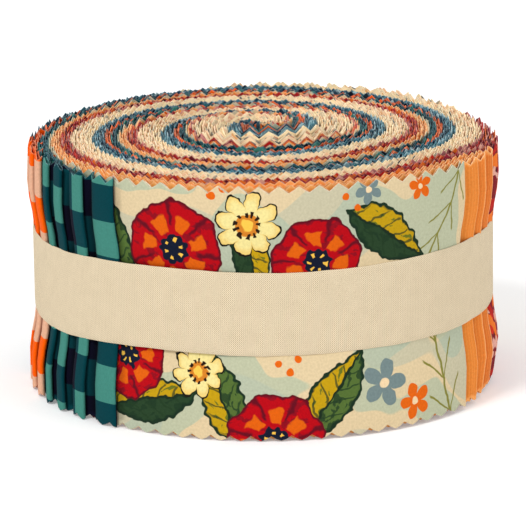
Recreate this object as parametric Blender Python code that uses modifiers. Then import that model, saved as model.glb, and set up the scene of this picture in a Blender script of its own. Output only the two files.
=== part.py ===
"""A roll of pinked quilting-cotton strips held by a woven tape band, in metres, +Z up.

Forty strips, each folded in half across its length, are stacked and wound together into one roll.
Because the outer strips of the stack travel further, their folded ends stop one after another round
the outside like roof tiles. The wound part is one solid, with the ends on its far side as steps in it.
Each folded end on the near side is a sheet of its own, and the tape band grips them all at mid height
and draws the roll in to a waist.
Angles are degrees round the roll from the front (-Y), growing towards the right (+X).
"""

import math

import bmesh
import bpy
import numpy as np
from mathutils.geometry import delaunay_2d_cdt

INCH = 0.0254
STRIP_WIDTH = 2.5 * INCH
TOOTH_DEPTH = 0.0020
ROLL_RADIUS = 0.0594
ROLL_OVALITY = 0.0007
OVAL_ANGLE = 60.0

SHEET = 0.0010
CLEARANCE = 0.00035
STEP = SHEET + CLEARANCE
SIDE_GAP = 0.00046
TUCK = 0.0020
BUILD_UP = 0.0036
EDGE_LIFT = 0.0001
EDGE_UNEVENNESS = 0.0005
LOOSE_WITHIN = 91.0

BAND_HEIGHT = 0.0210
BAND_THICKNESS = 0.0010
BAND_MIDDLE = 0.0318
BAND_FACETS = 96
WAIST_DEPTH = 0.0026
WAIST_EASE = 0.0090
RIM_TAPER = 0.0005

TURN_THICKNESS = 0.0178
CORE_RADIUS = 0.0050
SPIRAL_CENTRE = (-0.0018, 0.0035)
TEETH_ROUND = 76
LINES_ACROSS_STACK = 6
SEAM_DEPTH = 0.0010
TURN_SEAM_DEPTH = 0.0018
RIM_MARGIN = 0.0014
FLAT_RADIUS = 0.0525

# Strips from the outside of the stack to its inside, with the angle where each one's fold stops.
STRIP_GROUPS = (
    # name, sRGB colour, angles of the folded ends
    ("floral", (206, 209, 186), (57.0,)),
    ("orange", (226, 138, 66), (62.0, 67.3, 70.2, 73.1, 76.0)),
    ("red", (128, 32, 36), (81.5, 88.0, 95.0, 102.0, 109.0, 116.0)),
    (
        "cream",
        (240, 216, 172),
        (122.5, 129.0, 136.0, 142.5, 149.5, 156.0, 163.0, 169.5, 176.5, 183.0, 190.0, 196.5, 203.5),
    ),
    ("blue", (38, 62, 84), (211.0, 218.5, 226.5, 234.0, 242.0, 249.5, 257.5, 265.0)),
    ("orange_check", (224, 112, 52), (273.0, 281.7, 289.3)),
    ("teal_check", (48, 118, 112), (295.5, 303.3, 311.1, 321.5)),
)
WOUND_COLOUR = (214, 180, 140)
BAND_COLOUR = (232, 217, 184)


def clear_scene():
    for obj in list(bpy.data.objects):
        bpy.data.objects.remove(obj, do_unlink=True)


def linear(srgb):
    """An sRGB colour of 0 to 255 as the linear RGBA that a shader takes."""
    return [((c / 255 + 0.055) / 1.055) ** 2.4 for c in srgb] + [1.0]


def cotton(name, srgb):
    material = bpy.data.materials.new(name)
    material.use_nodes = True
    shader = material.node_tree.nodes["Principled BSDF"]
    shader.inputs["Base Color"].default_value = linear(srgb)
    shader.inputs["Roughness"].default_value = 0.9
    shader.inputs["Metallic"].default_value = 0.0
    return material


def add_object(name, bm, collection, material):
    """A named object from a bmesh, shaded flat between its pinked edges."""
    mesh = bpy.data.meshes.new(name)
    bm.to_mesh(mesh)
    bm.free()
    obj = bpy.data.objects.new(name, mesh)
    obj.data.materials.append(material)
    collection.objects.link(obj)
    return obj


def thicken(obj, thickness):
    """Gives an open sheet its thickness inwards from the modelled face."""
    shell = obj.modifiers.new("cloth_thickness", "SOLIDIFY")
    shell.thickness = thickness
    shell.offset = -1.0


def turn_faces_outward(bm):
    """Flips an open sheet's faces if they look at the roll's axis."""
    bm.normal_update()
    facing = sum(face.normal.xy.dot(face.calc_center_median().xy) * face.calc_area() for face in bm.faces)
    if facing < 0:
        bmesh.ops.reverse_faces(bm, faces=bm.faces)


def direction(angle):
    """Unit vector in the plane for an angle in degrees, 0 at the front and 90 at the right."""
    turn = math.radians(angle)
    return np.array([math.sin(turn), -math.cos(turn)])


def outline(angle):
    """Radius of the roll's outside at its rims: a circle with a slight oval bulge."""
    return ROLL_RADIUS + ROLL_OVALITY * math.cos(2 * math.radians(angle - OVAL_ANGLE))


def sheet_rows():
    """Heights where the side bends: its edges, the band's edges and where the waist eases off."""
    low = BAND_MIDDLE - BAND_HEIGHT / 2
    high = BAND_MIDDLE + BAND_HEIGHT / 2
    return [0.0, low - WAIST_EASE, low, high, high + WAIST_EASE, STRIP_WIDTH]


def waist(z):
    """How far the band draws the side in at height z: all of it under the band, easing off beside it."""
    return float(np.interp(z, sheet_rows(), [0, RIM_TAPER, WAIST_DEPTH, WAIST_DEPTH, RIM_TAPER, 0]))


def arc_degrees(length):
    """Degrees of arc that a length takes up at the roll's outside."""
    return math.degrees(length / ROLL_RADIUS)


def strip_ends():
    """Each strip's name, group, the angles of its end and of the end lying over it, and that end's pitch.

    The end over a strip is that of the strip wound outside it. Over the outermost strip lies the
    end of the innermost one, which runs on nearly a full turn further.
    """
    strips = []
    for group, _, ends in STRIP_GROUPS:
        for i, end in enumerate(ends):
            strips.append((f"{group}_end_{i + 1}" if len(ends) > 1 else f"{group}_end", group, end))
    rows = []
    for i, (name, group, end) in enumerate(strips):
        over = strips[i - 1][2] - (360 if i < 1 else 0)
        over_that = strips[i - 2][2] - (360 if i < 2 else 0)
        rows.append((name, group, end, over, over - over_that))
    return rows


def is_loose(end):
    """Whether an end is on the near side, where it is a sheet of its own."""
    return min(end % 360, -end % 360) < LOOSE_WITHIN


def strip_end(name, end, over, pitch_over, lift, collection, material):
    """The folded end of one strip: a pinked sheet wrapped round the roll, tucked under the end over it.

    The sheet climbs like a roof tile, from under its neighbour to the roll's full radius at its own end.
    Where the neighbour is a step in the wound part, the sheet starts close beside it instead.
    """
    tuck = arc_degrees(TUCK)
    teeth = max(1, round((end - over) / 360 * TEETH_ROUND))
    if is_loose(over):
        stations = np.concatenate([[over - tuck], np.linspace(over, end, 2 * teeth + 1)])
    else:
        stations = np.linspace(over + arc_degrees(SIDE_GAP), end, 2 * teeth + 1)
    drop = np.interp(stations, [over - tuck, over, end], [STEP * (1 + tuck / pitch_over), STEP, 0.0])
    rows = sheet_rows()
    pinking = [TOOTH_DEPTH, 0, 0, 0, 0, -TOOTH_DEPTH]
    bm = bmesh.new()
    grid = []
    for column, angle in enumerate(stations):
        line = []
        for z, cut in zip(rows, pinking):
            x, y = direction(angle) * (outline(angle) - drop[column] - waist(z))
            line.append(bm.verts.new((x, y, z + lift + cut * (column % 2))))
        grid.append(line)
    for left, right in zip(grid, grid[1:]):
        for i in range(len(rows) - 1):
            bm.faces.new((left[i], right[i], right[i + 1], left[i + 1]))
    turn_faces_outward(bm)
    thicken(add_object(name, bm, collection, material), SHEET)


def under_sheets(angle, ends):
    """Radius of the wound part below the loose ends, and closer under the long outermost strip."""
    first = ends[0][3]
    last = ends[0][2]
    ramp = arc_degrees(2 * TUCK)
    at = [first, first + ramp, last - 2 * ramp, last - ramp]
    depth = [BUILD_UP, STEP + SHEET + 2 * CLEARANCE, STEP + 2 * CLEARANCE, BUILD_UP]
    place = (angle - first) % 360 + first
    return outline(angle) - float(np.interp(place, at, depth))


def wound_ring(ends):
    """Stations round the wound part's side: angle, radius, and whether the pinked edge is notched there.

    On the far side each strip climbs to the full radius at its own end and the next starts a step below.
    """
    gap = arc_degrees(SIDE_GAP)
    far = [(end, over) for _, _, end, over, _ in ends if not is_loose(end)]
    ring = []
    for end, over in far:
        teeth = max(1, round((end - over) / 360 * TEETH_ROUND))
        for k, angle in enumerate(np.linspace(over + gap, end, 2 * teeth + 1)):
            ring.append((angle, outline(angle) - STEP * (end - angle) / (end - over), k % 2 == 0))
    start = far[-1][0] + gap / 4
    stop = far[0][1] + 360 + gap * 3 / 4
    count = 2 * round((stop - start) / 360 * TEETH_ROUND)
    for k in range(count + 1):
        angle = start + (stop - start) * k / count
        ring.append((angle, under_sheets(angle, ends), k % 2 == 0))
    return ring


def spiral_lines():
    """Points on the roll's top, line by line: where they lie in the plane, and how far below the top.

    The wound stack is a spiral ribbon. LINES_ACROSS_STACK lines run along it, crests and seams by
    turns, and along each line the points are half a tooth apart, so tips and notches alternate.
    """
    growth = TURN_THICKNESS / (2 * math.pi)
    lines = []
    for line in range(LINES_ACROSS_STACK):
        start = CORE_RADIUS + TURN_THICKNESS * line / LINES_ACROSS_STACK
        turn = np.linspace((0.0015 - start) / growth, (ROLL_RADIUS - start) / growth, 4000)
        radius = start + growth * turn
        along = (radius * np.sqrt(radius**2 + growth**2) / growth + growth * np.arcsinh(radius / growth)) / 2
        along -= np.interp(0.0, turn, along)
        half_tooth = math.pi * ROLL_RADIUS / TEETH_ROUND
        ticks = np.arange(math.ceil(along[0] / half_tooth), math.floor(along[-1] / half_tooth) + 1)
        turn_at = np.interp(ticks * half_tooth, along, turn)
        seam = TURN_SEAM_DEPTH if line == 0 else SEAM_DEPTH * (1 - line % 2)
        points = []
        for tick, angle in zip(ticks, np.degrees(turn_at)):
            reach = start + growth * math.radians(angle)
            centre = np.array(SPIRAL_CENTRE) * (1 - min(1.0, reach / ROLL_RADIUS) ** 2)
            points.append((centre + direction(angle) * reach, seam + TOOTH_DEPTH * (tick % 2)))
        lines.append(points)
    return lines


def wound_top(ring):
    """The spiral top as points and triangles. Its first points are those of the rim."""
    plan = [tuple(direction(angle) * radius) for angle, radius, _ in ring]
    height = [STRIP_WIDTH - TOOTH_DEPTH * notched for _, _, notched in ring]
    rim = len(plan)
    at = np.array([angle for angle, _, _ in ring])
    reach = np.array([radius for _, radius, _ in ring])
    edges = []
    for points in spiral_lines():
        before = None
        for place, below in points:
            angle = math.degrees(math.atan2(place[0], -place[1]))
            near = np.abs((at - angle + 180) % 360 - 180) < 3.0
            if np.linalg.norm(place) > reach[near].min() - RIM_MARGIN:
                before = None
                continue
            plan.append(tuple(place))
            height.append(STRIP_WIDTH - below)
            if before is not None:
                edges.append((before, len(plan) - 1))
            before = len(plan) - 1
    made = delaunay_2d_cdt(plan, edges, [list(range(rim))], 1, 1e-7)
    source = [group[0] for group in made[3]]
    triangles = [[source[v] for v in face] for face in made[2]]
    return [(x, y, z) for (x, y), z in zip(plan, height)], triangles


def wound_strips(ends, collection, material):
    """The wound part as one solid: spiral top, waisted side with pinked rims, and a flat underside."""
    ring = wound_ring(ends)
    points, faces = wound_top(ring)
    above = list(range(len(ring)))
    for z in reversed(sheet_rows()[:-1]):
        below = []
        for angle, radius, notched in ring:
            x, y = direction(angle) * (radius - waist(z))
            below.append(len(points))
            points.append((x, y, z + (TOOTH_DEPTH * notched if z == 0 else 0)))
        faces += wall(above, below)
        above = below
    flat = []
    for angle, _, _ in ring:
        x, y = direction(angle) * FLAT_RADIUS
        flat.append(len(points))
        points.append((x, y, 0.0))
    faces += wall(above, flat)
    faces.append(flat[::-1])
    bm = bmesh.new()
    verts = [bm.verts.new(point) for point in points]
    for face in faces:
        bm.faces.new([verts[i] for i in face])
    bmesh.ops.recalc_face_normals(bm, faces=bm.faces)
    return add_object("wound_strips", bm, collection, material)


def wall(above, below):
    """Triangles between two rings of the same count."""
    faces = []
    for c, (a, b) in enumerate(zip(above, below)):
        d = (c + 1) % len(above)
        faces.append([a, b, below[d]])
        faces.append([a, below[d], above[d]])
    return faces


def cotton_band(collection, material):
    """The woven tape, a tube drawn tight round the waist."""
    bm = bmesh.new()
    bottom, top = [], []
    for i in range(BAND_FACETS):
        angle = 360 * i / BAND_FACETS
        x, y = direction(angle) * (outline(angle) - WAIST_DEPTH + CLEARANCE + BAND_THICKNESS)
        bottom.append(bm.verts.new((x, y, BAND_MIDDLE - BAND_HEIGHT / 2)))
        top.append(bm.verts.new((x, y, BAND_MIDDLE + BAND_HEIGHT / 2)))
    for i in range(BAND_FACETS):
        d = (i + 1) % BAND_FACETS
        bm.faces.new((bottom[i], bottom[d], top[d], top[i]))
    turn_faces_outward(bm)
    thicken(add_object("cotton_band", bm, collection, material), BAND_THICKNESS)


def main():
    clear_scene()
    collection = bpy.data.collections.new("fabric_strip_roll")
    bpy.context.scene.collection.children.link(collection)
    ends = strip_ends()
    wound_strips(ends, collection, cotton("wound_cotton", WOUND_COLOUR))
    colours = {group: srgb for group, srgb, _ in STRIP_GROUPS}
    for i, (name, group, end, over, pitch_over) in enumerate(ends):
        if not is_loose(end):
            continue
        lift = EDGE_LIFT + EDGE_UNEVENNESS * (1 + math.sin(2.4 * i)) / 2
        strip_end(name, end, over, pitch_over, lift, collection, cotton(f"{name}_cotton", colours[group]))
    cotton_band(collection, cotton("band_cotton", BAND_COLOUR))


main()
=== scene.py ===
"""Looks of a roll of pinked quilting-cotton strips held by a woven tape band.

Forty strips, each folded in half, are wound together, so every strip is a long thin ribbon that runs
outward along the spiral, turns back on itself at its folded end and runs in again. Lengths are metres
and +Z is up. Angles are degrees round the roll from the front (-Y), growing towards the right (+X).
A turn angle goes on growing past 360 as a strip winds outward, from 0 where the stack was started.
"""

import math

import bpy
import numpy as np
from mathutils import Matrix, Vector


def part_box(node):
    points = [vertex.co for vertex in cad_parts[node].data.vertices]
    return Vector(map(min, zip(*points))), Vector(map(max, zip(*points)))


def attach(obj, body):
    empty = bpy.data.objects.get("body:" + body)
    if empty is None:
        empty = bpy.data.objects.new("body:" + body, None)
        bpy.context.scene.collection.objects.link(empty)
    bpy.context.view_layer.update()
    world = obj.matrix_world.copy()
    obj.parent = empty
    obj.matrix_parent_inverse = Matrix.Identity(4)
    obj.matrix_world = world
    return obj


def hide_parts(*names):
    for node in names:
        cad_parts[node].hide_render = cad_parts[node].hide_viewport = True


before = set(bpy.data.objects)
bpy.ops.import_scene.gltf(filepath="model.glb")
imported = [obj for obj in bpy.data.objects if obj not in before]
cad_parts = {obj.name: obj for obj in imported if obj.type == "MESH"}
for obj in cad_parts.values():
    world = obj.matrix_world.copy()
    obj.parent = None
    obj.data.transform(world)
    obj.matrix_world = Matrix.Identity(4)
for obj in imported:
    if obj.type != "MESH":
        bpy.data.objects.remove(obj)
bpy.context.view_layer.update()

BAND_LOW, BAND_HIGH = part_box("cotton_band")
STRIP_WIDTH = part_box("wound_strips")[1].z

MM = 0.001
CLOTH = 0.14 * MM
TOOTH_PITCH = 4.94 * MM
TOOTH_DEPTH = 1.75 * MM
LOWER_TOOTH_DEPTH = 1.3 * MM
TOOTH_ZONE = 2.2 * MM

# Faces that meet at more than this angle keep a sharp edge between them.
SHARP_ANGLE = math.radians(50)

# The roll's outside, its waist under the band, and the tape.
ROLL_RADIUS = 59.4 * MM
ROLL_OVALITY = 0.7 * MM
OVAL_ANGLE = 60.0
BAND_BED = 1.95 * MM
WAIST_DEPTH = 1.45 * MM
WAIST_EASE = 11.5 * MM
RIM_LEAN_ZONE = 8.0 * MM
LOWER_FLARE = 0.45 * MM
FLARE_GROWTH = 1.6
WAIST_REACH = 6.0 * MM
BED_START = 0.1 * MM
BED_SLOPE = 0.8 * MM
TAPE_THICKNESS = 0.55 * MM
TAPE_SWELL = 0.15 * MM
TAPE_STEPS = 720
TAPE_RIPPLE = 0.10 * MM
TAPE_WANDER = 0.12 * MM

# How the stack of strips is wound, loosely outside and tightly at the core.
STACK_THICKNESS = 17.6 * MM
CORE_SHIFT = np.array([-0.8, 4.4]) * MM
CORE_DEPTH = 50.0 * MM
CORE_HOLE = 1.1 * MM
CORE_RISE = 1.6 * MM
CORE_LAYERS = 68, 102
LOOSENESS = 2.7 * MM
LOOSER_IN_FRONT = 2.3 * MM
FIRST_GAP = 1.0 * MM
NEAR_LAYERS = 14.0
START_TURN = -700.0
PATH_STEPS = 7000
LATER_TURNS = 5
SHOWN_LAYERS = 1.6
SQUEEZE = 9.5
SQUEEZE_TURNS = (90.0, 300.0)
SQUEEZED_STRIPS = (0.5, 12.0, 25.0)
FULL_TURNS = 2

# The grooves beside the folded ends: their size and place, how they differ round the roll and fade with the
# layers over them, and the shade painted into them.
GROOVE_DEPTH = 2.3 * MM
GROOVE_PLACE = 0.75 * MM
GROOVE_WIDTH = 1.1 * MM
GROOVE_AT_RIGHT = 0.12
GROOVE_MORE_LEFT = 0.44
GROOVE_GROWTH = 3.0
GROOVE_FADE = 3.5
LAST_GROOVE = 0.5
PAINTED_SHADE_WIDTH = 1.6 * GROOVE_WIDTH
LAST_PAINTED_SHADE = 0.9

# The folds at the strips' ends: the gap beside the bend, the bend's length for each half of that gap, how
# unevenly the bend runs up the side, and how many degrees before a strip's end its layers give way to it.
FOLD_GAP = 1.15 * MM
FOLD_REACH = 3.0 * MM
FOLD_LENGTH = 1.3
BEND_STEPS = 8
FOLD_WANDER = 0.55 * MM
WANDER_HEIGHTS = 11 * MM, 5.3 * MM
WANDER_REACH = 4 * MM
STRIP_STOP = 0.7

# The pinked edges: the fringe along them, painted paler as fluff and as a painted highlight, and how
# unevenly their tips stand and lean. Each pair is in mm, as a least amount and what is added deeper in
# the roll.
FRINGE = 0.35 * MM
LOW_UNEVENNESS = 0.05 * MM
TIP_UNEVENNESS = 0.08, 0.17
TIP_LEANS = 0.1, 0.14
NOTCH_LEAN = 0.4

# Slow waves of the upper edge along a strip, as height in mm and length in metres for each radian. Then
# how much higher or lower a whole strip's edge is, in mm, and the layers over which the rim's lift fades.
EDGE_WAVES = (0.16, 0.021), (0.12, 0.0093)
STRIP_OFFSET = 0.3
RIM_LAYERS = 7

# The painted light that Cloth.add stores, by how the cloth lies, and the layers that it changes over. Low
# values paint shade on buried cloth, high ones a painted highlight along the teeth and cut edges.
OPEN_LIGHT = 0.5
LOW_EDGE_LIGHT = 0.8
NOTCH_LIGHT = 0.42
FRINGE_LIGHT = 0.7
EDGE_LIGHT = 1.0
LIT_NOTCH_LAYERS = 6.5
BURIED_FROM = 0.98
BURIED_OVER = 0.3
INNER_DEEPER = 0.8
MOTTLED_FROM = 0.975

# Margins of the bake map, as shares of the map's width and of a ribbon's shelf, and a cap's width there.
MAP_MARGIN = 0.001
SHELF_MARGIN = 0.02
CAP_WIDTH = 0.0005

# Strips from the outside of the stack to its inside, with the angle where each one's fold stops.
# The teeth of all strips line up at the stack's start. Towards the outside a group's teeth have slipped
# by slip, and those of its single strips by up to spread more or less.
STRIP_GROUPS = (
    # name, slip mm, spread mm, angles of the folded ends
    ("floral", 0.0, 0.0, (57.0,)),
    ("orange", 2.3, 0.7, (63.4, 64.3, 68.4, 69.2, 74.7)),
    ("red", 1.0, 1.2, (81.5, 88.0, 95.0, 102.0, 109.0, 116.0)),
    ("cream", 0.0, 1.6,
     (122.5, 129.0, 136.0, 142.5, 149.5, 156.0, 163.0, 169.5, 176.5, 183.0, 190.0, 196.5, 203.5)),
    ("blue", 1.8, 1.6, (211.0, 218.5, 226.5, 234.0, 242.0, 249.5, 257.5, 265.0)),
    ("orange_check", 0.6, 1.0, (273.0, 281.7, 289.3)),
    ("teal_check", 1.4, 1.2, (295.3, 303.0, 311.7, 321.4)),
)
ENDS = [360.0 * FULL_TURNS + end for _, _, _, ends in STRIP_GROUPS for end in ends]
STRIPS = len(ENDS)

# How far in the upper rim leans, and how far the outer strips' edges stand up, in mm by the angle round
# the roll.
RIM_LEANS = (0, 90, 200, 230, 262, 290, 360), (0.35, 0.35, 0.5, 1.0, 0.9, 0.4, 0.35)
RIM_LIFTS = ((0, 35, 62, 90, 104, 115, 124, 140, 186, 194, 240, 262, 285, 360),
             (0.0, 0.0, -0.8, -0.9, -1.0, -0.8, -0.2, 0.95, 0.95, 0.15, -0.45, -0.35, 0.0, 0.0))

# How high the strips' lower edges stand, and how far the tape lies above its level place, likewise.
SEATS = (0, 30, 60, 100, 180, 300, 360), (0.15, 0.5, 0.8, 0.7, 0.4, 0.05, 0.15)
BAND_LIFTS = ((0, 30, 62, 90, 180, 270, 292, 304, 318, 334, 360),
              (-0.15, 0.1, 0.5, 0.3, 0.0, -1.1, -1.3, -1.0, -0.15, 0.4, -0.15))

# How far in the lower rim leans, likewise.
LOW_LEANS = (0, 58, 68, 92, 120, 150, 360), (0.0, 0.0, 1.5, 2.0, 1.2, 0.0, 0.0)
LOW_LEAN_ZONE = 12.0 * MM

# How a strip's ribbons share the bake map: the rows round the loop of a deep ribbon, each deep ribbon's part
# of the strip's shelf, and how much more width the stations that are seen get, and the inner layer's less.
DEEP_SHARES = [1.0, 1.0, 1.0, 0.4, 0.3, 0.4, 1.0, 1.0, 1.0, 0.3]
DEEP_SHARE = 0.3
SHOWN_DEEP_SHARE = 0.08
SEEN_LAYERS = 1.3
SEEN_WEIGHT = 2.0
SHOWN_WEIGHT = 6.0
INNER_WEIGHT = 0.3
LEAST_WIDTH = 0.2 * MM

# Camera that matches the photograph's view.
IMAGE_SIZE = 526
FOCAL_PX = 4014.8
CAMERA_DISTANCE = 1.0261
CAMERA_ELEVATION = 14.42
CAMERA_ROLL = -0.76
CENTRE_PX = (263.4, 255.3)


def direction(angle):
    """Unit vectors in the plane for angles in degrees, 0 at the front and 90 at the right."""
    turn = np.radians(angle)
    return np.stack([np.sin(turn), -np.cos(turn)], axis=-1)


def outline(angle):
    """Radius of the roll's outside at its rims: a circle with a slight oval bulge."""
    return ROLL_RADIUS + ROLL_OVALITY * np.cos(2 * np.radians(angle - OVAL_ANGLE))


def ends_passed(turn):
    """How many strips have stopped by a turn angle: one more at each end, counted fast just after it.

    Between two ends the count goes on as 1 - (1 - share) cubed.
    """
    count = np.interp(turn, ENDS + [ENDS[0] + 360], np.arange(STRIPS + 1))
    return np.floor(count) + 1 - (1 - count % 1) ** 3


def layers_over(strip, turn):
    """How many strips lie outside this one: those of its own turn, and whole stacks of the later ones."""
    count = np.maximum(0.0, strip - ends_passed(turn))
    for later in range(1, LATER_TURNS + 1):
        count = count + STRIPS - ends_passed(turn + 360 * later)
    return count


def squeezed(strip, turn):
    """Layers by which a strip lies less deep in the core, where some strips are pressed thin.

    It rises over the squeezed strips and falls back over the strips inside them, and comes in as a smooth
    step of the turn angle.
    """
    amount = np.interp(strip, SQUEEZED_STRIPS, (0, SQUEEZE, 0))
    step = np.clip((SQUEEZE_TURNS[1] - turn) / (SQUEEZE_TURNS[1] - SQUEEZE_TURNS[0]), 0, 1)
    return amount * step * step * (3 - 2 * step)


def slack_depth(turn, layers):
    """Extra depth from the looser outer layers: limit times (1 - exp(-layers * first gap / limit))."""
    limit = LOOSENESS + LOOSER_IN_FRONT * np.cos(np.radians(turn))
    return limit * (1 - np.exp(-layers * FIRST_GAP / limit))


def groove(turn, layers, width, last):
    """1 in a groove just past a folded end, where the strip under it comes up again, and 0 away from it.

    It is a bell curve of the distance past the nearest end, deeper at the left than at the right, and
    nothing on the end itself. Past the last end, where one strip lies plainly on the rest, it is narrower
    and last times as deep.
    """
    past = (turn[:, None] - np.array(ENDS)[None] + 180) % 360 - 180
    share = np.where(np.arange(STRIPS) < STRIPS - 1, 1.0, LAST_GROOVE)
    bells = np.exp(-((np.radians(past) * ROLL_RADIUS / share - GROOVE_PLACE) / width) ** 2)
    bells[:, -1] *= last
    bell = bells.max(axis=1)
    side = GROOVE_AT_RIGHT + GROOVE_MORE_LEFT * (1 - np.sin(np.radians(turn)))
    return side * bell * (1 - np.exp(-GROOVE_GROWTH * layers))


def painted_lightness(strip, turn, inner, heights):
    """How openly each point of the cloth lies: buried 0, open 0.5, and 1 along the upper cut edge.

    The outer strips' teeth are painted lighter right down to the notches. The value is painted light:
    low values paint shade on buried cloth and in the grooves beside the folded ends, and high values
    paint a highlight along the upper edge.
    """
    layers = layers_over(strip, turn) + (INNER_DEEPER if inner else 0)
    # Painted shade: buried cloth, and cloth in the grooves past the folded ends, gets less light.
    buried = np.clip((layers - BURIED_FROM) / BURIED_OVER, 0, 1)
    dark = np.maximum(buried, groove(turn, layers, PAINTED_SHADE_WIDTH, LAST_PAINTED_SHADE))
    light = np.repeat(OPEN_LIGHT * (1 - np.clip(dark, 0, 1))[:, None], heights.shape[1], 1)
    light[:, 0] = LOW_EDGE_LIGHT
    notches = NOTCH_LIGHT * np.clip(LIT_NOTCH_LAYERS - layers, 0, 1)
    light[:, -3] = np.maximum(light[:, -3], notches)
    light[:, -2] = FRINGE_LIGHT
    light[:, -1] = EDGE_LIGHT
    return light


def mottled(strip, turn, teeth, heights, amount, rng):
    """Factor on the dye at each point: each tooth along the upper edge shows another part of the print.

    It starts below the outermost layer, so that cloth on the outside keeps its even dye.
    """
    count = np.floor(teeth / TOOTH_PITCH + 0.5).astype(int)
    count -= count.min()
    covered = np.clip(2 * (layers_over(strip, turn) - MOTTLED_FROM), 0, 1)
    shade = rng.uniform(-1, 1, count.max() + 1)[count] * covered
    tone = np.ones_like(heights)
    tone[:, -3:] = 1 + amount * shade[:, None]
    return tone


def along_spiral(strip, turn, extra):
    """Points of a strip at turn angles: plan position, outward direction, depth, radius and layers over it.

    The radius is the outline's less the layers' packed depth, slack, groove and an extra depth. The centre
    that it is measured from moves from the outline's own to the core's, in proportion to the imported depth.
    """
    layers = layers_over(strip, turn)
    packed = STACK_THICKNESS * (layers - squeezed(strip, turn)) / STRIPS
    hollow = GROOVE_DEPTH * groove(turn, layers, GROOVE_WIDTH, 0.0) * np.exp(-layers / GROOVE_FADE)
    depth = packed + slack_depth(turn, layers) + hollow + extra
    outward = direction(turn)
    radius = outline(turn) - depth
    place = outward * radius[..., None] + CORE_SHIFT * (packed / CORE_DEPTH)[..., None]
    return place, outward, depth, radius, layers


def waist(height, lift):
    """How far in the band draws the side: the waist's depth at its edges, eased off beside it.

    The easing is a smooth step. A little inside the band's edges the side goes down to the band's own bed.
    lift is the band's own.
    """
    away = np.maximum(BAND_LOW.z - height + lift, height - BAND_HIGH.z - lift)
    ease = 1 - np.clip(away / WAIST_EASE, 0, 1)
    bed = np.clip(-(away + BED_START) / BED_SLOPE, 0, 1)
    return WAIST_DEPTH * ease * ease * (3 - 2 * ease) + (BAND_BED - WAIST_DEPTH) * bed


def rim_lean(height, turn):
    """How far in the side leans at its upper rim, most at the back left, and at the lower rim's right.

    Each lean is the square of the nearness to its rim. At its left the lower rim flares out instead.
    """
    near = np.clip((height - STRIP_WIDTH) / RIM_LEAN_ZONE + 1, 0, 1)
    lean = np.interp(turn % 360, *RIM_LEANS) * MM
    low = np.clip(1 - height / BAND_LOW.z, 0, 1)
    flare = LOWER_FLARE * (1 - np.sin(np.radians(turn))) / 2
    tuck = np.interp(turn % 360, *LOW_LEANS)[:, None] * MM
    tuck = tuck * np.clip(1 - height / LOW_LEAN_ZONE, 0, 1) ** 2
    return lean[:, None] * near ** 2 - flare[:, None] * np.minimum(1, FLARE_GROWTH * low) + tuck


def pinked(along):
    """Zigzag of a pinked edge: 0 at a tooth's tip and 1 at the notch, by the length along the strip."""
    return np.abs(2 * ((along / TOOTH_PITCH) % 1) - 1)


def corners(across, up):
    """Map places of the quads of a grid: lower left, lower right, upper right and upper left of each."""
    left, low = np.meshgrid(across[:-1], up[:-1], indexing="ij")
    right, high = np.meshgrid(across[1:], up[1:], indexing="ij")
    pairs = ((left, low), (right, low), (right, high), (left, high))
    return np.stack([np.stack(pair, -1) for pair in pairs], -2)


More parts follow.
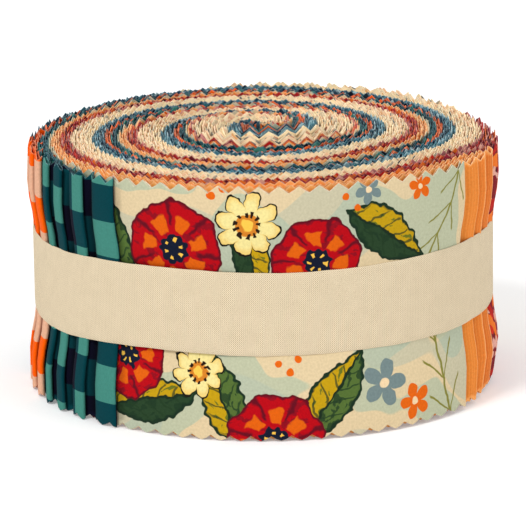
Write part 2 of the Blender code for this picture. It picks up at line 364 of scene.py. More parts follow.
class Cloth:
    """Collects ribbons of cloth into one mesh, with its maps and attributes."""

    def __init__(self):
        self.points, self.quads, self.maps, self.bake, self.side, self.dye = [], [], [], [], [], []
        self.count = 0

    def add(self, face, reverse, along, heights, light, tone, print_at, dye, shelf, wide, tall):
        """A closed ribbon from its face and reverse grids, stations by rows.

        The section's loop runs up the face and down the reverse. The cloth's map is its length from the
        fold and its height, moved by print_at. tone scales the dye. light is the dye's fourth value, the
        painted light: 0 for painted shade where cloth is buried, 0.5 where it lies open and 1 for fluff
        and a painted highlight at a cut edge. The attribute side is 0 on the face, 1 on the reverse and 0.5
        on cut edges. shelf is the ribbon's own strip of the bake map, as lowest and highest v, and wide and
        tall weigh its stations and the loop's segments there.
        """
        stations, rows, _ = face.shape
        loop = np.concatenate([face, reverse[:, ::-1]], axis=1)
        size = 2 * rows
        index = self.count + np.arange(stations * size).reshape(stations, size)
        after = np.roll(index, -1, axis=1)
        body = np.stack([index[:-1], index[1:], after[1:], after[:-1]], axis=-1).reshape(-1, 4)
        up = np.arange(rows - 1)
        first = index[0]
        start = np.stack([first[up], first[up + 1], first[size - 2 - up], first[size - 1 - up]], -1)
        last = index[-1]
        stop = np.stack([last[up], last[size - 1 - up], last[size - 2 - up], last[up + 1]], -1)
        side = np.concatenate([np.zeros(rows - 1), [0.5], np.ones(rows - 1), [0.5]])

        loop_heights = np.concatenate([heights, heights[:, ::-1]], axis=1)
        uv = np.stack([np.repeat(along[:, None], size, 1), loop_heights], -1) + print_at
        uv_after = np.roll(uv, -1, axis=1)
        body_uv = np.stack([uv[:-1], uv[1:], uv_after[1:], uv_after[:-1]], axis=-2).reshape(-1, 4, 2)
        cap_uv = [np.stack([uv[0, up], uv[0, up + 1], uv[0, up + 1], uv[0, up]], -2)]
        cap_uv.append(np.stack([uv[-1, up], uv[-1, up], uv[-1, up + 1], uv[-1, up + 1]], -2))

        wide = np.ones(stations - 1) if wide is None else wide
        tall = np.asarray(tall)
        u = np.concatenate([[0], np.cumsum(wide)]) / wide.sum() * (1 - 2 * MAP_MARGIN) + MAP_MARGIN
        v = np.concatenate([[0], np.cumsum(tall)]) / tall.sum()
        v = shelf[0] + (shelf[1] - shelf[0]) * (SHELF_MARGIN + (1 - 2 * SHELF_MARGIN) * v)
        body_bake = corners(u, v).reshape(-1, 4, 2)
        cap_corners = [(0.0, shelf[0]), (0.0, shelf[0]), (CAP_WIDTH, shelf[0]), (CAP_WIDTH, shelf[0])]
        cap_bake = np.tile(np.array(cap_corners), (2 * (rows - 1), 1, 1))

        self.points.append(loop.reshape(-1, 3))
        self.quads += [body, start, stop]
        self.maps += [body_uv] + cap_uv
        self.bake += [body_bake, cap_bake]
        self.side += [np.tile(side, stations - 1), np.full(2 * (rows - 1), 0.5)]
        tint = np.tile(np.append(dye, 1.0), (stations, size, 1))
        tint[..., :3] *= np.concatenate([tone, tone[:, ::-1]], axis=1)[..., None]
        # The fourth value is the painted light, read by the material as painted shade and painted highlight.
        tint[..., 3] = np.concatenate([light, light[:, ::-1]], axis=1)
        self.dye.append(tint.reshape(-1, 4))
        self.count += stations * size

    def finish(self, name, material):
        """The mesh object, smooth but for its cut edges."""
        points = np.concatenate(self.points)
        quads = np.concatenate(self.quads)
        mesh = bpy.data.meshes.new(name)
        mesh.vertices.add(len(points))
        mesh.vertices.foreach_set("co", points.astype(np.float32).ravel())
        mesh.loops.add(quads.size)
        mesh.loops.foreach_set("vertex_index", quads.astype(np.int32).ravel())
        mesh.polygons.add(len(quads))
        mesh.polygons.foreach_set("loop_start", np.arange(0, quads.size, 4, dtype=np.int32))
        mesh.update(calc_edges=True)
        for layer, values in (("UVMap", self.maps), ("OFBake", self.bake)):
            uv = mesh.uv_layers.new(name=layer)
            uv.uv.foreach_set("vector", np.concatenate(values).astype(np.float32).ravel())
        mesh.attributes.new("side", "FLOAT", "FACE").data.foreach_set("value", np.concatenate(self.side))
        # The dye attribute's fourth value is the painted light.
        mesh.attributes.new("dye", "FLOAT_COLOR", "POINT").data.foreach_set(
            "color", np.concatenate(self.dye).astype(np.float32).ravel()
        )
        mesh.shade_smooth()
        mesh.set_sharp_from_angle(angle=SHARP_ANGLE)
        mesh.materials.append(material)
        piece = bpy.data.objects.new(name, mesh)
        bpy.context.scene.collection.objects.link(piece)
        return piece


UPPER_ROWS = [STRIP_WIDTH - TOOTH_ZONE, STRIP_WIDTH - FRINGE, STRIP_WIDTH]
DEEP_ROWS = np.array([0.0, TOOTH_ZONE] + UPPER_ROWS)


def tall_rows(low, high):
    """Row heights of a ribbon near the outside: close together by the waist, with one gap at the band."""
    below = [0.0, TOOTH_ZONE, 10 * MM, 14 * MM, 18 * MM, low + BED_START, low + BED_START + BED_SLOPE]
    above = [high - BED_START - BED_SLOPE, high - BED_START]
    above += [high + 3.5 * MM, high + 7.5 * MM, high + 12 * MM]
    return np.array(below + above + UPPER_ROWS)


def near_shares():
    """How the near rows share a shelf of the bake map: by height on the face, and a tenth as much behind.

    The gap under the band gets a fifth of its height, and the toothed edges get full shares on both sides.
    """
    face = np.diff(NEAR_ROWS)
    face[len(face) // 2] *= 0.2
    face[[0, -2, -1]] *= 2.0
    behind = face[::-1] * 0.1
    behind[[0, 1, -1]] = face[[-1, -2, 0]]
    return np.concatenate([face, [0.5 * MM], behind, [0.5 * MM]])


NEAR_ROWS = tall_rows(BAND_LOW.z, BAND_HIGH.z)
NEAR_SHARES = near_shares()


class Layer:
    """One layer of a folded strip along the spiral: the outer one, or the inner one that runs back inside it.

    The inner layer lies deeper by half the strip's share of the stack, and by a gap that opens towards
    the fold as exp(-distance to the fold / reach). Stations are half a tooth apart, or a quarter where
    the strip shows on the roll's side, so that tips and notches fall on stations. The teeth slip along the
    path by the square of the turn angle, and come to lie behind those of the layer that it is beside.
    """

    def __init__(self, strip, inner, slip, beside=None):
        self.strip, self.inner = strip, inner
        turn = np.linspace(START_TURN, ENDS[strip], PATH_STEPS)
        place, _, _, radius, _ = self.path(turn)
        open_core = np.flatnonzero(radius < CORE_HOLE)
        begin = open_core[-1] + 1 if len(open_core) else 0
        steps = np.linalg.norm(np.diff(place, axis=0), axis=1)
        along = np.concatenate([[0], np.cumsum(steps)])
        along -= np.interp(0.0, turn, along)
        self.length = along[-1]
        if beside:
            slip = slip + beside.length - self.length
        teeth = along + slip * (np.clip(turn, 0, None) / ENDS[strip]) ** 2
        quarter = TOOTH_PITCH / 4
        ticks = np.arange(math.ceil(teeth[begin] / quarter), math.floor(teeth[-1] / quarter) + 1)
        turns = np.interp(ticks * quarter, teeth, turn)
        shown = layers_over(strip, turns) < SHOWN_LAYERS
        kept = (shown | (ticks % 2 == 0)) & (turns < ENDS[strip] - STRIP_STOP)
        self.turn = turns[kept]
        self.teeth = ticks[kept] * quarter
        self.back = along[-1] - np.interp(self.turn, turn, along)
        self.place, self.outward, self.depth, _, self.layers = self.path(self.turn)

    def path(self, turn):
        """Points along the layer: those of the spiral, deeper by the layer's own share and gap."""
        extra = np.zeros_like(turn)
        if self.inner:
            back = np.radians(ENDS[self.strip] - turn) * ROLL_RADIUS
            extra = STACK_THICKNESS / STRIPS * 0.5 + FOLD_GAP * np.exp(-back / FOLD_REACH)
        return along_spiral(self.strip, turn, extra)

    def part(self, start, stop):
        """The layer's arrays between two stations, in the order that section takes them in."""
        arrays = (self.turn, self.teeth, self.back, self.place, self.outward, self.depth)
        return [values[start:stop] for values in arrays]


def right_of(place):
    """Unit vectors in the plane, square to a path and to its right."""
    tangent = np.gradient(place, axis=0)
    tangent /= np.linalg.norm(tangent, axis=1, keepdims=True)
    return np.stack([tangent[:, 1], -tangent[:, 0]], -1)


def lifted(strip, turn, back, waves):
    """How far a strip stands above the table, and how much further its upper edge rises.

    The core's rise grows as a smooth step from the core's edge inwards. The upper edge has the rim's lift,
    which dies away over a few layers, and slow unevenness, two sines of the length along the strip.
    """
    layers = layers_over(strip, turn)
    deep = np.clip((layers - CORE_LAYERS[0]) / (CORE_LAYERS[1] - CORE_LAYERS[0]), 0, 1)
    rim = np.exp(-layers / RIM_LAYERS) * np.interp(turn % 360, *RIM_LIFTS)
    uneven = sum(size * np.sin(back / length + wave) for (size, length), wave in zip(EDGE_WAVES, waves))
    uneven = (uneven + STRIP_OFFSET * np.sin(3 * waves[2])) * (1 - np.exp(-layers))
    seat = np.interp(turn % 360, *SEATS)
    return CORE_RISE * deep * deep * (3 - 2 * deep) + seat * MM, (rim + uneven) * MM


def section(strip, turn, teeth, back, place, outward, depth, rows, rng, waves):
    """The two sides of the cloth at each station, by rows of heights between its pinked edges.

    Each row is the path moved inwards by the waist, which fades with depth, and near the fold moved along
    the path by two slow sines of the height. The upper edge follows the zigzag of the teeth, and the lower
    edge its power of 1.5, with blunter tips. Tips lean in or out a little at random. The rows near the
    band go up and down with it.
    """
    tooth = pinked(teeth)
    jitter = rng.uniform(-1, 1, (len(turn), 3))
    heights = np.tile(rows, (len(turn), 1))
    lift = (np.interp(turn % 360, *BAND_LIFTS) - np.interp(turn % 360, *SEATS))[:, None] * MM
    heights[:, 2:-3] += lift
    loose = 1 - np.exp(-layers_over(strip, turn))
    heights[:, 0] = LOWER_TOOTH_DEPTH * tooth ** 1.5 + LOW_UNEVENNESS * (1 + jitter[:, 0])
    uneven = (TIP_UNEVENNESS[0] + TIP_UNEVENNESS[1] * loose) * MM
    heights[:, -1] = STRIP_WIDTH - TOOTH_DEPTH * tooth - uneven * (1 + jitter[:, 1])
    heights[:, -2] = np.maximum(heights[:, -1] - FRINGE, heights[:, -3] + 0.01 * MM)
    squeeze = waist(heights, lift) + rim_lean(heights, turn)
    squeeze = squeeze * np.exp(-np.maximum(depth, 0) / WAIST_REACH)[:, None]
    flare = np.zeros_like(heights)
    lean = (TIP_LEANS[0] + TIP_LEANS[1] * loose) * MM
    flare[:, -1] = lean * jitter[:, 2] * (1 - (1 - NOTCH_LEAN) * tooth)
    flare[:, -2] = 0.8 * flare[:, -1]
    long_wave, short_wave = (heights / height for height in WANDER_HEIGHTS)
    sway = np.sin(long_wave + waves[2]) + 0.5 * np.sin(short_wave + waves[3])
    sway = FOLD_WANDER * sway * np.exp(-back / WANDER_REACH)[:, None]
    along = direction(turn + 90)
    middle = place[:, None] + outward[:, None] * (flare - squeeze)[..., None]
    middle = middle + along[:, None] * sway[..., None]
    normal = right_of(place)
    stand, rise = lifted(strip, turn, back, waves)
    z = heights + stand[:, None] + rise[:, None] * (heights / STRIP_WIDTH) ** 2
    sides = []
    for half in (CLOTH / 2, -CLOTH / 2):
        xy = middle + normal[:, None] * half
        sides.append(np.concatenate([xy, z[..., None]], -1))
    return sides[0], sides[1], heights


def round_fold(outer, inner):
    """The arrays of both layers joined round their fold, with the length along the strip from the fold.

    Round the fold the path is half an ellipse across the gap between the layers. The last value is the
    number of stations up to the inner layer.
    """
    turn_o, teeth_o, back_o, place_o, out_o, depth_o = outer
    turn_i, teeth_i, back_i, place_i, out_i, depth_i = [values[::-1] for values in inner]
    bend = np.linspace(0, math.pi, BEND_STEPS + 1)[1:-1]
    centre, across = (place_o[-1] + place_i[0]) / 2, (place_o[-1] - place_i[0]) / 2
    forward = np.array([-across[1], across[0]])
    nose = centre + np.cos(bend)[:, None] * across + FOLD_LENGTH * np.sin(bend)[:, None] * forward
    turn = np.concatenate([turn_o, np.full(len(bend), turn_o[-1]), turn_i])
    teeth = np.concatenate([teeth_o, teeth_o[-1] + np.linalg.norm(across) * bend, teeth_i])
    back = np.concatenate([back_o, np.full(len(bend), back_o[-1]), back_i])
    along = np.concatenate([back_o, back_o[-1] * np.cos(bend), -back_i])
    place = np.concatenate([place_o, nose, place_i])
    outward = np.concatenate([out_o, np.tile(out_o[-1], (len(bend), 1)), out_i])
    depth = np.concatenate([depth_o, np.full(len(bend), depth_o[-1]), depth_i])
    return (turn, teeth, back, place, outward, depth), along, len(turn_o) + len(bend)


def folded_strip(cloth, strip, slip, print_at, dye, mottle, shelf, shown, backed, rng):
    """One folded strip, as three closed ribbons that share the strip's own shelf of the bake map.

    Deep in the roll each layer is a ribbon with plain walls. Nearer the outside, both layers and the fold
    are one ribbon with rows enough to follow the waist. It gets more of the shelf on a shown strip. The
    teeth of the two layers line up at the fold of a backed strip.
    """
    waves = rng.uniform(0, 2 * math.pi, 4)
    outer = Layer(strip, False, slip)
    inner = Layer(strip, True, slip, outer if backed else None)
    bottom, top = shelf
    share = (top - bottom) * (SHOWN_DEEP_SHARE if shown else DEEP_SHARE)
    splits = []
    for layer in (outer, inner):
        split = int(np.argmax(layer.layers < NEAR_LAYERS))
        splits.append(split)
        arrays = layer.part(0, split + 1)
        turn, teeth, back = arrays[:3]
        face, reverse, heights = section(strip, *arrays, DEEP_ROWS, rng, waves)
        light = painted_lightness(strip, turn, layer is inner, heights)
        tone = mottled(strip, turn, teeth, heights, mottle, rng)
        along = back
        if layer is inner:
            face, reverse, heights, along = reverse[::-1], face[::-1], heights[::-1], -back[::-1]
            light, tone = light[::-1], tone[::-1]
        low = bottom + (layer is inner) * share
        ribbon_shelf = (low, low + share)
        cloth.add(face, reverse, along, heights, light, tone, print_at, dye, ribbon_shelf, None, DEEP_SHARES)

    arrays, along, outside = round_fold(outer.part(splits[0], None), inner.part(splits[1], None))
    turn, teeth, _, place, _, _ = arrays
    face, reverse, heights = section(strip, *arrays, NEAR_ROWS, rng, waves)
    light = painted_lightness(strip, turn, False, heights)
    light[outside:] = painted_lightness(strip, turn[outside:], True, heights[outside:])
    tone = mottled(strip, turn, teeth, heights, mottle, rng)
    wide = np.maximum(np.linalg.norm(np.diff(place, axis=0), axis=1), LEAST_WIDTH)
    seen = layers_over(strip, turn[:-1]) < SEEN_LAYERS
    wide = wide * np.where(seen, SHOWN_WEIGHT if shown else SEEN_WEIGHT, 1.0)
    wide[outside:] *= INNER_WEIGHT
    ribbon_shelf = (bottom + 2 * share, top)
    cloth.add(face, reverse, along, heights, light, tone, print_at, dye, ribbon_shelf, wide, NEAR_SHARES)


# The side of a check's square, and how far up or down the other prints may lie, in mm.
CHECK = 9.2
PRINT_SLIP = 40

# Where each checked strip's squares lie: the height where a light row starts, and how far back from the
# fold its light column reaches.
CHECK_PLACES = {
    # group: (light row from mm, light column to mm) for each strip
    "orange_check": ((50.0, 6.0), (49.5, 7.0), (52.3, 7.5)),
    "teal_check": ((56.3, 6.0), (48.4, 8.0), (53.0, 5.0), (42.8, 9.3)),
}

# Ground colours of the plainly seen strips, from the outside of the stack inwards, as linear colours.
DYES = {
    "floral": [(0.46, 0.48, 0.33)],
    "orange": [
        (0.75, 0.225, 0.036), (0.79, 0.25, 0.046), (0.74, 0.20, 0.032), (0.77, 0.23, 0.04),
        (0.68, 0.165, 0.026)],
    "red": [
        (0.20, 0.010, 0.018), (0.27, 0.022, 0.042), (0.08, 0.004, 0.016), (0.34, 0.06, 0.085),
        (0.12, 0.006, 0.022), (0.52, 0.21, 0.20)],
    "cream": [
        (0.97, 0.75, 0.45), (0.97, 0.68, 0.41), (0.94, 0.77, 0.49), (0.98, 0.80, 0.50), (0.95, 0.63, 0.40),
        (0.97, 0.76, 0.44), (0.90, 0.77, 0.54), (0.98, 0.74, 0.46), (0.95, 0.66, 0.44), (0.98, 0.80, 0.50),
        (0.92, 0.75, 0.47), (0.97, 0.72, 0.42), (0.90, 0.75, 0.51)],
    "blue": [
        (0.04, 0.17, 0.22), (0.05, 0.20, 0.26), (0.30, 0.46, 0.50), (0.06, 0.18, 0.24),
        (0.015, 0.06, 0.10), (0.004, 0.014, 0.045), (0.03, 0.07, 0.11), (0.003, 0.007, 0.025)],
    "orange_check": [(0.88, 0.105, 0.0)] * 3,
    "teal_check": [(0.0, 0.042, 0.053)] * 4,
}

# How much the teeth of a strip differ in tone.
MOTTLES = {"floral": 0.2, "orange": 0.35, "red": 0.55, "cream": 0.16, "blue": 0.65,
           "orange_check": 0.4, "teal_check": 0.4}


def strip_print(group, k, rng):
    """A strip's ground colour, and how far its print is moved along and up the strip.

    The print lies at a random height on each strip of a group but the first.
    """
    if group in CHECK_PLACES:
        row, column = CHECK_PLACES[group][k]
        move = np.array([CHECK - column, -row]) * MM
    elif group == "floral":
        move = np.zeros(2)
    else:
        move = np.array([0, rng.uniform(-PRINT_SLIP, PRINT_SLIP) * (k > 0)]) * MM
    return np.array(DYES[group][k]), move


class Paint:
    """Shorthand for a node tree: calls add nodes, and take numbers, colours or other nodes' outputs."""

    def __init__(self, tree):
        self.tree = tree

    def put(self, socket, value):
        """Links another node's output to a socket, or sets the socket's own value."""
        if isinstance(value, bpy.types.NodeSocket):
            self.tree.links.new(value, socket)
        elif value is not None:
            if socket.type == "RGBA" and len(value) == 3:
                value = (*value, 1.0)
            socket.default_value = value

    def node(self, kind, *values, **settings):
        """A shader node of a kind, with its settings and, in order, the values of its inputs."""
        made = self.tree.nodes.new("ShaderNode" + kind)
        for key, value in settings.items():
            setattr(made, key, value)
        for socket, value in zip(made.inputs, values):
            self.put(socket, value)
        return made

    def math(self, operation, a, b=None, c=None):
        return self.node("Math", a, b, c, operation=operation).outputs[0]

    def times(self, a, b):
        return self.math("MULTIPLY", a, b)

    def plus(self, a, b):
        return self.math("ADD", a, b)

    def minus(self, a, b):
        return self.math("SUBTRACT", a, b)

    def absolute(self, value):
        return self.math("ABSOLUTE", value)

    def scaled(self, value, factor, offset):
        """The value times a factor, plus an offset."""
        return self.math("MULTIPLY_ADD", value, factor, offset)

    def wave(self, value, period, shift=0.0):
        """A sine of the value with a period."""
        return self.math("SINE", self.scaled(value, 2 * math.pi / period, shift))

    def rays(self, turn, count):
        """A cosine of the angle round a centre, with as many crests as count."""
        return self.math("COSINE", self.times(turn, count))

    def within(self, value, low, high, soft):
        """1 where the value lies between two limits and 0 outside, with soft edges."""
        rise = self.ease(value, low - soft, low + soft)
        return self.times(rise, self.ease(value, high + soft, high - soft))

    def ease(self, value, start, stop):
        """A smooth step of the value, from 0 at start to 1 at stop."""
        made = self.node("MapRange", value, start, stop, 0.0, 1.0, interpolation_type="SMOOTHSTEP")
        return made.outputs[0]

    def mix(self, amount, a, b):
        """Colour a where amount is 0, b where it is 1, and a blend between."""
        made = self.tree.nodes.new("ShaderNodeMix")
        made.data_type = "RGBA"
        for name, value in (("Factor_Float", amount), ("A_Color", a), ("B_Color", b)):
            self.put(next(i for i in made.inputs if i.identifier == name), value)
        return next(o for o in made.outputs if o.identifier == "Result_Color")

    def noise(self, point, scale, detail):
        """Smooth noise over the plane. A greater scale makes its patches smaller, detail roughens them."""
        made = self.node("TexNoise", noise_dimensions="2D")
        self.put(made.inputs["Vector"], point)
        made.inputs["Scale"].default_value = scale
        made.inputs["Detail"].default_value = detail
        return made.outputs["Fac"]

    def polar(self, point):
        """Distance from the centre and angle round it."""
        xyz = self.node("SeparateXYZ", point).outputs
        distance = self.node("VectorMath", point, operation="LENGTH").outputs["Value"]
        return distance, self.math("ARCTAN2", xyz[1], xyz[0])


# Inks of the floral print, as linear colours.
RED = (0.43, 0.002, 0.007)
BRUSHED_RED = (0.22, 0.004, 0.012)
LINE_RED = (0.12, 0.004, 0.012)
RIM_RED = (0.11, 0.004, 0.012)
ORANGE = (0.70, 0.12, 0.006)
FLAME = (0.68, 0.11, 0.004)
AMBER = (0.60, 0.20, 0.02)
CREAM = (0.80, 0.68, 0.28)
STRAW = (0.78, 0.55, 0.16)
PALE_EYE = (0.80, 0.60, 0.36)
SEED_GOLD = (0.85, 0.50, 0.07)
EYE_GOLD = (0.85, 0.52, 0.07)
MUSTARD = (0.49, 0.30, 0.006)
NAVY = (0.006, 0.010, 0.025)
INK = (0.01, 0.008, 0.006)
BROWN = (0.02, 0.010, 0.006)
SLATE = (0.16, 0.22, 0.22)
GREEN = (0.08, 0.14, 0.03)
DARK_GREEN = (0.020, 0.050, 0.020)
OLIVE = (0.22, 0.21, 0.04)
MOSS = (0.09, 0.13, 0.015)
BOTTLE_GREEN = (0.012, 0.035, 0.015)
VEIN_GREEN = (0.015, 0.04, 0.015)
MIDRIB_GREEN = (0.010, 0.025, 0.012)
LEAF_RIM = (0.010, 0.028, 0.014)


def motif(name, draw):
    """A node group that draws one motif of the floral print in its own unit circle, as colour and mask."""
    tree = bpy.data.node_groups.new(name, "ShaderNodeTree")
    tree.interface.new_socket("Place", in_out="INPUT", socket_type="NodeSocketVector")
    tree.interface.new_socket("Colour", in_out="INPUT", socket_type="NodeSocketColor")
    tree.interface.new_socket("Colour", in_out="OUTPUT", socket_type="NodeSocketColor")
    tree.interface.new_socket("Mask", in_out="OUTPUT", socket_type="NodeSocketFloat")
    paint = Paint(tree)
    given = tree.nodes.new("NodeGroupInput").outputs
    colour, mask = draw(paint, given[0], given[1])
    result = tree.nodes.new("NodeGroupOutput")
    paint.put(result.inputs[0], colour)
    paint.put(result.inputs[1], mask)
    return tree


def brushed(paint, place, look, shade, amount):
    """Streaky patches of a darker shade over a motif's colour."""
    streaks = paint.node("VectorMath", place, (2.2, 5.0, 1.0), operation="MULTIPLY").outputs[0]
    patches = paint.ease(paint.noise(streaks, 1.3, 3.0), 0.56, 0.60)
    return paint.mix(paint.times(patches, amount), look, shade)


def draw_rosette(paint, place, colour):
    """A round scalloped flower: red with darker lines between petals, a ring of orange drops, a dark eye."""
    r, turn = paint.polar(place)
    scallop = paint.scaled(paint.rays(turn, 7.0), 0.035, 0.95)
    edge = paint.minus(scallop, r)
    twist = paint.scaled(r, 0.5, paint.times(turn, 3.5))
    petal = paint.absolute(paint.math("SINE", twist))
    shade = paint.times(paint.ease(petal, 0.30, 0.05), paint.within(r, 0.45, 1.0, 0.05))
    look = brushed(paint, place, colour, BRUSHED_RED, 0.85)
    look = paint.mix(shade, look, LINE_RED)
    look = paint.mix(paint.ease(edge, 0.07, 0.03), look, RIM_RED)
    drop = paint.times(paint.ease(petal, 0.55, 0.75), paint.within(r, 0.36, 0.66, 0.02))
    look = paint.mix(drop, look, FLAME)
    core = paint.scaled(paint.rays(turn, 9.0), 0.03, 0.28)
    look = paint.mix(paint.ease(paint.minus(core, r), -0.01, 0.01), look, NAVY)
    seeds = paint.rays(turn, 6.0)
    seeds = paint.times(paint.ease(seeds, 0.45, 0.6), paint.within(r, 0.13, 0.20, 0.01))
    look = paint.mix(seeds, look, SEED_GOLD)
    return look, paint.ease(edge, -0.008, 0.008)


def draw_daisy(paint, place, colour):
    """Eight round petals with a dark line round each, and a golden eye with a ring of brown dots."""
    r, turn = paint.polar(place)
    lobe = paint.absolute(paint.rays(turn, 4.0))
    reach = paint.scaled(paint.math("POWER", lobe, 0.5), 0.42, 0.55)
    edge = paint.minus(reach, r)
    look = paint.mix(paint.ease(edge, 0.30, 0.05), colour, STRAW)
    look = paint.mix(paint.ease(edge, 0.075, 0.055), look, INK)
    look = paint.mix(paint.ease(r, 0.34, 0.32), look, AMBER)
    dots = paint.rays(turn, 11.0)
    dots = paint.times(paint.ease(dots, -0.2, 0.2), paint.within(r, 0.26, 0.40, 0.01))
    look = paint.mix(dots, look, BROWN)
    look = paint.mix(paint.ease(r, 0.2, 0.16), look, EYE_GOLD)
    return look, paint.ease(edge, -0.01, 0.01)


def draw_leaf(paint, place, colour):
    """A pointed leaf along x, one half green and one mustard, with a dark rim, a midrib and side veins."""
    xyz = paint.node("SeparateXYZ", place).outputs
    x, y = xyz[0], xyz[1]
    bow = paint.minus(y, paint.times(paint.wave(x, 4.0), 0.12))
    width = paint.math("MAXIMUM", paint.minus(1.0, paint.times(x, x)), 0.0)
    width = paint.times(width, paint.scaled(x, -0.14, 0.44))
    width = paint.plus(width, paint.scaled(paint.wave(x, 0.21), 0.012, -0.02))
    edge = paint.minus(width, paint.absolute(bow))
    mustard_half = brushed(paint, place, MUSTARD, MOSS, 0.9)
    green_half = brushed(paint, place, colour, BOTTLE_GREEN, 0.8)
    look = paint.mix(paint.ease(bow, -0.01, 0.01), mustard_half, green_half)
    slope = paint.scaled(paint.absolute(bow), -0.9, x)
    veins = paint.times(paint.ease(paint.wave(slope, 0.3), 0.8, 0.95), paint.ease(edge, 0.04, 0.12))
    look = paint.mix(paint.times(veins, 0.8), look, VEIN_GREEN)
    look = paint.mix(paint.ease(paint.absolute(bow), 0.030, 0.018), look, MIDRIB_GREEN)
    look = paint.mix(paint.ease(edge, 0.075, 0.045), look, LEAF_RIM)
    return look, paint.ease(edge, -0.006, 0.006)


def draw_floret(paint, place, colour):
    """A small flat flower of five round petals in one colour, with a pale eye."""
    r, turn = paint.polar(place)
    lobe = paint.absolute(paint.rays(turn, 2.5))
    reach = paint.scaled(paint.math("POWER", lobe, 0.7), 0.66, 0.33)
    look = paint.mix(paint.ease(r, 0.22, 0.18), colour, PALE_EYE)
    return look, paint.ease(paint.minus(reach, r), -0.02, 0.02)


def draw_twig(paint, place, colour):
    """A thin stem along x with pairs of slanting side shoots, each shoot from the stem outwards and on."""
    xyz = paint.node("SeparateXYZ", place).outputs
    x = xyz[0]
    y = paint.minus(xyz[1], paint.times(paint.wave(x, 3.4), 0.10))
    away = paint.absolute(y)
    stem = paint.ease(away, 0.030, 0.018)
    slant = paint.minus(x, paint.times(paint.math("POWER", away, 0.8), 1.15))
    shoot = paint.math("FRACT", paint.times(slant, 1.6))
    shoot = paint.absolute(paint.minus(shoot, 0.5))
    shoot = paint.times(paint.ease(shoot, 0.055, 0.030), paint.ease(away, 0.40, 0.36))
    mask = paint.math("MAXIMUM", stem, shoot)
    return colour, paint.times(mask, paint.within(x, -0.95, 0.95, 0.01))


def draw_dot(paint, place, colour):
    """A plain round dot."""
    r = paint.node("VectorMath", place, operation="LENGTH").outputs["Value"]
    return colour, paint.ease(r, 1.04, 0.96)


# The floral print, drawn in this order. Distances are along the strip from its fold, and up from its
# lower edge.
FLORAL_MOTIFS = (
    # motif, colour, along mm, up mm, size mm, turn degrees
    ("twig", OLIVE, 11, 14, 15, 70),
    ("twig", OLIVE, 9, 51, 13, -70),
    ("leaf", DARK_GREEN, 27, 49, 14, 205),
    ("leaf", GREEN, 70, 11, 13, 60),
    ("leaf", GREEN, 42, 11, 14, 118),
    ("leaf", DARK_GREEN, 88, 9, 14, 158),
    ("leaf", GREEN, 100, 44, 15, 82),
    ("leaf", DARK_GREEN, 62, 44, 11, 245),
    ("rosette", RED, 46, 44, 12.0, 10),
    ("rosette", RED, 82, 47, 13.0, 40),
    ("rosette", RED, 96, 19, 11.5, 0),
    ("rosette", RED, 57, 0, 12.5, 20),
    ("rosette", RED, 112, 0, 9, 20),
    ("daisy", CREAM, 63, 54, 8.6, 12),
    ("daisy", CREAM, 76, 17, 7.2, 30),
    ("floret", ORANGE, 18, 60, 3.6, 10),
    ("floret", SLATE, 29, 12, 6.2, 35),
    ("floret", ORANGE, 20, 6, 4.8, 0),
    ("floret", SLATE, 33, 61, 3.6, 60),
    ("floret", ORANGE, 34, 26, 2.8, 25),
    ("dot", ORANGE, 70, 36, 1.0, 0),
    ("dot", ORANGE, 67, 38, 1.0, 0),
    ("dot", ORANGE, 69, 63, 1.1, 0),
    ("dot", ORANGE, 72, 61, 1.1, 0),
    ("dot", ORANGE, 26, 22, 0.9, 0),
    ("dot", ORANGE, 23, 24, 0.9, 0),
    ("dot", ORANGE, 14, 30, 0.9, 0),
    ("dot", ORANGE, 56, 19, 0.9, 0),
    ("dot", ORANGE, 53, 17, 1.0, 0),
    ("dot", ORANGE, 51, 20, 0.9, 0),
    ("dot", ORANGE, 39, 60, 0.9, 0),
    ("dot", ORANGE, 36, 57, 0.9, 0),
)

# After how many mm the print repeats, above what size in mm a motif's lines are drawn more freely, and the
# two colours that lie in patches on the ground.
FLORAL_REPEAT = 118.0
LARGE_MOTIF = 7
SAGE_TINT = (0.38, 0.44, 0.35)
CREAM_PATCH = (0.67, 0.53, 0.32)

# The woven threads' spacing in mm, how much of its paler colour a print's reverse shows, and how light
# buried cloth is painted beside open cloth, as painted shade.
THREAD = 0.36
REVERSE_FADE = 0.35
BURIED_PAINTED_SHADE = 0.3
CHECK_BURIED_PAINTED_SHADE = 0.14
CREAM_BURIED_PAINTED_SHADE = 0.6


